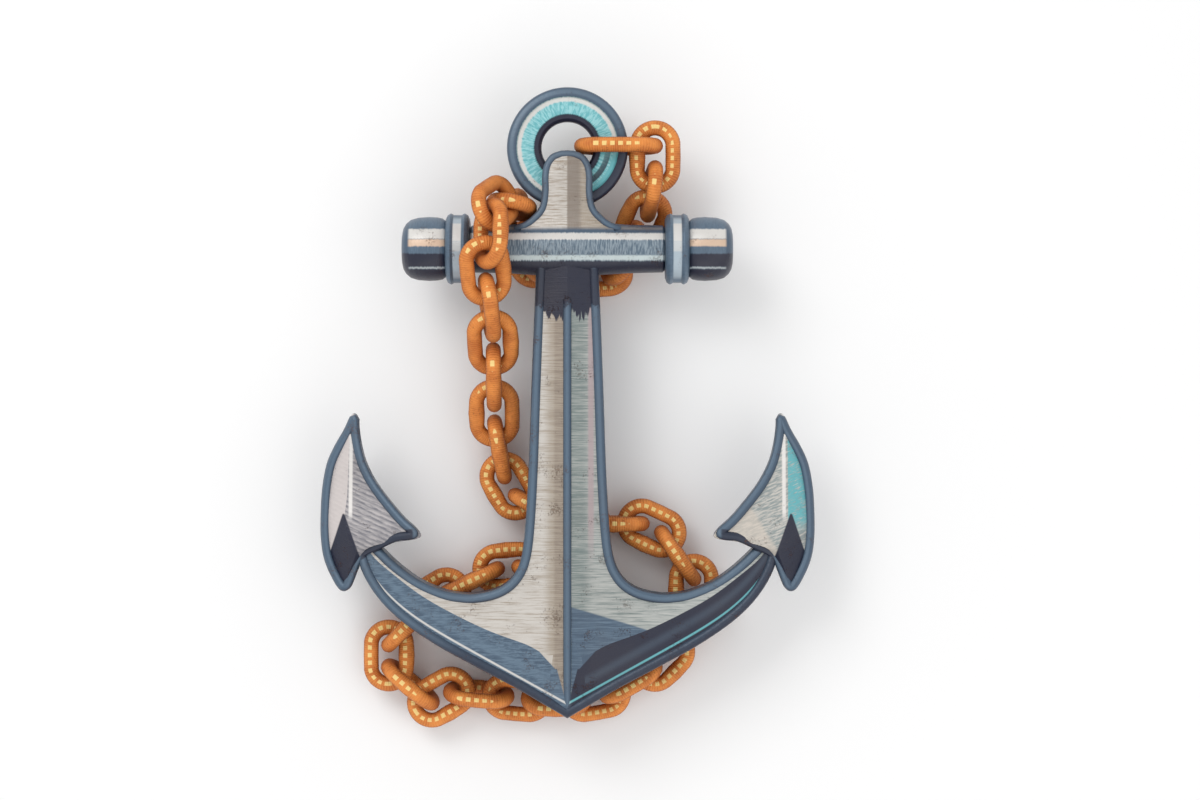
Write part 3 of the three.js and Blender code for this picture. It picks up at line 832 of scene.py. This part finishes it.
def joined(first, *others):
    clearSelection()
    for piece in (first, *others):
        piece.select_set(True)
    bpy.context.view_layer.objects.active = first
    bpy.ops.object.join()
    editWith(first)
    bpy.ops.mesh.select_all(action="SELECT")
    bpy.ops.mesh.remove_doubles(threshold=near["join"])
    bpy.ops.mesh.normals_make_consistent(inside=False)
    bpy.ops.object.mode_set(mode="OBJECT")
    if sum(face.normal.z * face.area for face in first.data.polygons) < 0:
        editWith(first)
        bpy.ops.mesh.select_all(action="SELECT")
        bpy.ops.mesh.flip_normals()
        bpy.ops.object.mode_set(mode="OBJECT")
    return first


# A closed line of [x, y] points with more points between them
def smoothed(points, between):
    rows = [[(x, y, 0)] for x, y in points]
    opened = eased([rows[-1]] + rows + rows[:2], between)
    return [(row[0][0], row[0][1]) for row in opened[between:-between - 1]]


def faceFinish(piece, finish):
    for material in (finish, slateRim):
        piece.data.materials.append(material)


def merged(name, pieces):
    clearSelection()
    for piece in pieces:
        piece.select_set(True)
    bpy.context.view_layer.objects.active = pieces[0]
    bpy.ops.object.join()
    pieces[0].name = name
    return pieces[0]


# A round bar along the route; the points are [x, y, height] in millimetres
def rimBead(name, route, radius, closed=False):
    clearSelection()
    bpy.ops.curve.primitive_nurbs_path_add(location=(0, 0, 0))
    piece = bpy.context.object
    piece.name = name
    curve = piece.data
    curve.splines.clear()
    line = curve.splines.new("POLY")
    line.points.add(len(route) - 1)
    for point, place in zip(line.points, route):
        point.co = (*(Vector(place) / 1000), 1.0)
    line.use_cyclic_u = closed
    curve.dimensions = "3D"
    curve.twist_mode = "MINIMUM"
    curve.bevel_depth = radius
    curve.bevel_resolution = 4
    curve.use_fill_caps = not closed
    bpy.ops.object.convert(target="MESH")
    piece = bpy.context.object
    editWith(piece)
    bpy.ops.mesh.select_all(action="SELECT")
    bpy.ops.mesh.remove_doubles(threshold=near["point"])
    bpy.ops.mesh.normals_make_consistent(inside=False)
    bpy.ops.object.mode_set(mode="OBJECT")
    piece.data.materials.clear()
    piece.data.materials.append(slateRim)
    return piece


# The same line moved sideways, to the left of the way it runs
def inset(points, amount):
    moved = []
    for i, point in enumerate(points):
        ahead, behind = Vector(points[min(i + 1, len(points) - 1)]), Vector(points[max(i - 1, 0)])
        way = Vector((ahead.x - behind.x, ahead.y - behind.y, 0)).normalized()
        moved.append(Vector(point) + Vector((-way.y, way.x, 0)) * amount)
    return moved


# The same point on the other side, on the other face, or both
def turnedPoint(point, side=1, face=1):
    return Vector((point[0] * side, point[1], point[2] * face))


# Walls down to the middle plane, then the same face behind
def backed(piece):
    editWith(piece, "EDGE")
    choose(piece, lambda edge: edge.is_boundary, "edges")
    bpy.ops.mesh.extrude_edges_move()
    bpy.ops.transform.resize(value=(1, 1, 0), center_override=(0, 0, 0))
    bpy.ops.object.mode_set(mode="OBJECT")
    applyModifier(piece, "MIRROR", use_axis=(False, False, True), merge_threshold=near["mirror"])
    sharp = math.radians(rim["sharp"])
    applyModifier(piece, "BEVEL", width=rim["corner"], segments=2, limit_method="ANGLE", angle_limit=sharp)
    editWith(piece)
    choose(piece, lambda face: abs(face.normal.z) < rim["wallSlope"])
    piece.active_material_index = len(piece.data.materials) - 1
    bpy.ops.object.material_slot_assign()
    bpy.ops.object.mode_set(mode="OBJECT")


# Up to the arms' place, leaning by lean for each metre away from leanFrom
def lifted(piece, lean=0.0, leanFrom=0.0):
    for vertex in piece.data.vertices:
        vertex.co.z += (abs(vertex.co.x) - leanFrom) * lean
        vertex.co += middle


shank = {
    "upper": [  # [point on the ridge, point on the upper edge]
        [(0, 140, 20.5), (30.5, 140, 13.5)], [(0, 70, 20.5), (33.5, 70, 13.5)],
        [(0, 3, 21), (36, 3, 14)], [(0, -70, 21), (38.5, -70, 14)],
        [(0, -125, 21), (42, -127, 14)], [(0, -160, 21.5), (46, -155, 14)],
        [(0, -190, 22), (53, -171, 14)], [(2, -222, 22), (63, -181, 14)],
        [(14, -250, 23), (76, -187, 14)], [(42, -239, 22.5), (92, -190, 13)],
        [(78, -226, 21), (104, -190, 13)], [(114, -209, 19), (122, -187, 13)],
        [(144, -192, 18), (146, -177, 13)], [(171, -172, 16), (167, -162, 13)],
        [(192, -154, 14), (184, -146, 12)], [(205, -136, 9), (198, -132, 8)],
    ],
    "lower": [  # [point on the ridge, point on the lower edge]
        [(14, -250, 23), (21, -301, 15)], [(42, -239, 22.5), (52, -283, 14)],
        [(78, -226, 21), (90, -263, 13)], [(114, -209, 19), (130, -241, 13)],
        [(144, -192, 18), (165, -217, 13)], [(171, -172, 16), (189, -193, 13)],
        [(192, -154, 14), (205, -166, 12)], [(205, -136, 9), (212, -138, 8)],
    ],
    "middle": [
        (0, 103, 18.8), (0, 3, 19.2), (0, -160, 19.7), (0, -200, 20.6), (0, -225, 20.9),
        (0, -250, 20.0), (0, -275, 18.2), (0, -290, 16.0), (0, -301, 13.2),
    ],
    "forkFoot": -306, "forkDrop": 5, "tip": (0, -314, 14), "rimTip": (0, -308.5, 14.0),
    "straight": 1.2, "between": 5, "smooth": 13.0,
}
upper, lower = eased(shank["upper"], shank["between"]), eased(shank["lower"], shank["between"])
forkTop = Vector(shank["lower"][0][0])
start = min(range(len(upper)), key=lambda i: (Vector(upper[i][0]) - forkTop).length)
for offset, row in enumerate(lower):
    row[0] = upper[start + offset][0]  # both strips share the ridge
for row in upper[:start]:  # the middle line runs straight until the fork
    if row[0][0] < shank["straight"]:
        row[0] = (0.0, row[0][1], row[0][2])
leave = max(i for i in range(start) if upper[i][0][0] == 0.0)
forkY = upper[leave][0][1]
tip = []
for index in range(leave, start + 1):  # the fork between the middle line and the arm's ridge
    t = (index - leave) / (start - leave)
    tip.append([(0, forkY + (shank["forkFoot"] - forkY) * t, 22 - shank["forkDrop"] * t), upper[index][0]])
tip.append([shank["tip"], lower[0][1]])
shankFinish, armFinish = shankPaint(), armPaint()
shankPiece, armPiece, tipPiece = strip("shankAndArms", upper), strip("armLower", lower), strip("crownTip", tip)
for piece, finish in ((shankPiece, shankFinish), (armPiece, armFinish), (tipPiece, shankFinish)):
    piece.data.materials.append(finish)
shankPiece = joined(shankPiece, armPiece, tipPiece)
applyModifier(shankPiece, "MIRROR", use_axis=(True, False, False), merge_threshold=near["join"])
shankPiece = joined(shankPiece)
shankPiece.data.materials.append(slateRim)
backed(shankPiece)
lifted(shankPiece)
settle(shankPiece, shank["smooth"])
handOver(shankPiece, "anchor", "pale_iron", "shank_and_arms")

down = Vector((0, 0, rim["sink"]))
upperBead = inset([Vector(row[1]) - down for row in upper], -rim["inset"])
lowerBead = inset([Vector(row[1]) - down for row in lower], rim["inset"])
beads = []
for face in (1, -1):
    leftHalf = [turnedPoint(point, -1, face) for point in reversed(lowerBead)]
    rightHalf = [turnedPoint(point, 1, face) for point in lowerBead]
    lowerRim = rimBead("rim.lower", leftHalf + [turnedPoint(shank["rimTip"], 1, face)] + rightHalf, rim["bead"])
    lowerRim.data.materials[0] = navyRim
    middleRim = rimBead("rim.middle", [turnedPoint(point, 1, face) for point in shank["middle"]], rim["middleBead"])
    beads += [lowerRim, middleRim]
    for side in (1, -1):
        beads.append(rimBead("rim.upper", [turnedPoint(point, side, face) for point in upperBead], rim["bead"]))
shankRim = merged("shankRim", beads)
lifted(shankRim)
settle(shankRim, rim["smooth"])
handOver(shankRim, "anchor", "slate_iron")
print("shank and arms made")

palm = {
    "rows": [  # across: inner edge, inner face, ridge, outer face, outer edge
        [(211, -11, 5), (212, -10.5, 5.5), (213, -10, 6), (214, -10.5, 5.5), (215, -11, 5)],
        [(209, -30, 6), (213, -29, 8), (217, -28, 10), (221, -29, 8), (225.5, -30, 6)],
        [(200, -62, 6), (209, -63, 10), (218, -65, 15), (229, -63, 10), (241, -61, 6)],
        [(188, -82, 6), (203, -87, 11), (219, -92, 18), (232, -91, 11), (246, -90, 6)],
        [(166, -109, 6), (193, -110, 12), (221, -112, 20), (234, -112, 12), (247, -112, 6)],
        [(147, -127, 6), (182, -128, 12), (218, -130, 21), (232, -130.5, 12), (247, -131, 6)],
        [(150, -135, 6), (181, -138, 12), (213, -141, 20), (229, -145, 12), (245, -149, 6)],
        [(187, -139, 6), (199, -145, 11), (211, -151, 18), (226, -157, 11), (241, -163, 6)],
        [(206, -158, 6), (211, -162, 10), (217, -166, 14), (225, -172, 10), (234, -178, 6)],
        [(216, -181, 6), (219, -182, 7), (222, -184, 9), (225, -185, 7), (228, -186, 6)],
    ],
    "outer": [
        (213.3, -16), (219.5, -29), (229, -45), (236.8, -62.5), (241.2, -86), (242.7, -110),
        (242.8, -131), (240.8, -149), (236.8, -162), (230.6, -174.5), (226.5, -181),
    ],
    "foot": [
        (223.5, -183.4), (220.3, -181), (216.5, -172), (210.5, -157.5), (203.0, -148.5), (190.0, -142.0),
    ],
    "inner": [
        (171, -133.3), (157.5, -131.4), (152.2, -129.8), (153.6, -126.6), (168.5, -113.0),
        (191.5, -85.0), (203.8, -63.5), (209.6, -45), (212.4, -28), (213.0, -19),
    ],
    "bead": 0.0046, "beadHeight": 7.4, "lean": -0.35, "leanFrom": 0.215, "between": 4, "smooth": 16.0,
}
palmRoute = smoothed(palm["outer"] + palm["foot"] + palm["inner"], palm["between"])
palmRoute = [(x, y, palm["beadHeight"]) for x, y in palmRoute]
palmFinish = palmPaint()
for word, side in (("right", 1), ("left", -1)):
    palmRows = [[turnedPoint(point, side) for point in row] for row in palm["rows"]]
    palmPiece = joined(strip(f"palm.{word}", palmRows, palm["between"]))
    faceFinish(palmPiece, palmFinish)
    backed(palmPiece)
    lifted(palmPiece, palm["lean"], palm["leanFrom"])
    settle(palmPiece, palm["smooth"])
    handOver(palmPiece, "anchor", "pale_iron", f"palm_{word}")
    routes = [[turnedPoint(point, side, face) for point in palmRoute] for face in (1, -1)]
    palmRim = merged(f"palmRim.{word}", [rimBead("rim.palm", route, palm["bead"], True) for route in routes])
    lifted(palmRim, palm["lean"], palm["leanFrom"])
    settle(palmRim, rim["smooth"])
    handOver(palmRim, "anchor", "slate_iron")
print("palms made")

stock = {"middle": 0.0265, "swell": 0.0002, "end": 0.0235, "reach": 0.097, "steps": 96, "smooth": 40.0}
stockHalf = [
    (0.003, stock["reach"]), (stock["end"] - 0.002, stock["reach"]), (stock["end"], stock["reach"] - 0.002),
    (stock["end"] + 0.0008, 0.06), (stock["middle"], 0.026),
]
stockProfile = [(radius, -along) for radius, along in stockHalf]
stockProfile += [(stock["middle"] + stock["swell"], 0.0)] + stockHalf[::-1]
stockPiece = spunPiece("stockBar", stockProfile, stockCentre, (1, 0, 0), stock["steps"])
stockPiece.data.materials.append(stockPaint())
settle(stockPiece, stock["smooth"])
handOver(stockPiece, "anchor", "slate_iron")
print("stock made")

head = {
    "rows": [  # [point on the ridge, point on the face, point on the edge]
        [(0, 158, 22), (22, 158, 21), (56, 158, 18)], [(0, 170, 24), (20, 170, 23), (47, 170, 20)],
        [(0, 178, 22), (19, 178, 21.5), (45, 177.5, 18.5)], [(0, 185, 21), (16, 185, 20.5), (37, 184, 18)],
        [(0, 195, 21), (13, 195, 20.5), (28, 194, 18)], [(0, 210, 21), (12.5, 210, 20.5), (25, 209, 18)],
        [(0, 226, 21), (12.5, 226, 20.5), (25, 226, 18)], [(0, 236, 20.5), (11.5, 235.5, 20), (22.5, 238, 17.5)],
        [(0, 243, 20), (9, 241.5, 19.5), (16, 247, 17.5)], [(0, 247, 19.5), (4.5, 246.5, 19.2), (6.5, 250.7, 17.5)],
    ],
    "tip": [[(0, 247, 19.5), (0, 251.4, 17.5)], [(4.5, 246.5, 19.2), (6.5, 250.7, 17.5)]],
    "rimFoot": [(51, 173.6, 13.5), (47, 174.6, 16.5), (42, 176.3, 17.6), (37.5, 179.2, 17.8)],
    "rimTop": (0, 247.6, 17.1), "bead": 0.0036, "inset": 3.4, "sink": 0.4,
    "between": 4, "joinNear": 0.0003, "smooth": 32.0,
}
headPiece = joined(strip("stockHead", head["rows"], head["between"]), strip("headTip", head["tip"]))
applyModifier(headPiece, "MIRROR", use_axis=(True, False, False), merge_threshold=head["joinNear"])
joined(headPiece)
faceFinish(headPiece, stockPaint())
backed(headPiece)
lifted(headPiece)
settle(headPiece, head["smooth"])
handOver(headPiece, "anchor", "slate_iron", "stock_and_head")

down = Vector((0, 0, head["sink"]))
headEdge = [Vector(row[2]) - down for row in eased(head["rows"][3:], head["between"])]
headSide = [Vector(point) for point in head["rimFoot"]] + inset(headEdge, head["inset"])
headSide = [Vector((max(point.x, 0.0), point.y, point.z)) for point in headSide]
beads = []
for face in (1, -1):
    rightHalf = [turnedPoint(point, 1, face) for point in headSide]
    leftHalf = [turnedPoint(point, -1, face) for point in reversed(headSide)]
    beads.append(rimBead("rim.head", rightHalf + [turnedPoint(head["rimTop"], 1, face)] + leftHalf, head["bead"]))
headRim = merged("headRim", beads)
lifted(headRim)
settle(headRim, rim["smooth"])
handOver(headRim, "anchor", "slate_iron")
print("head made")

key = nodes["stock_key"]
key.data.materials.clear()
key.data.materials.append(slateRim)
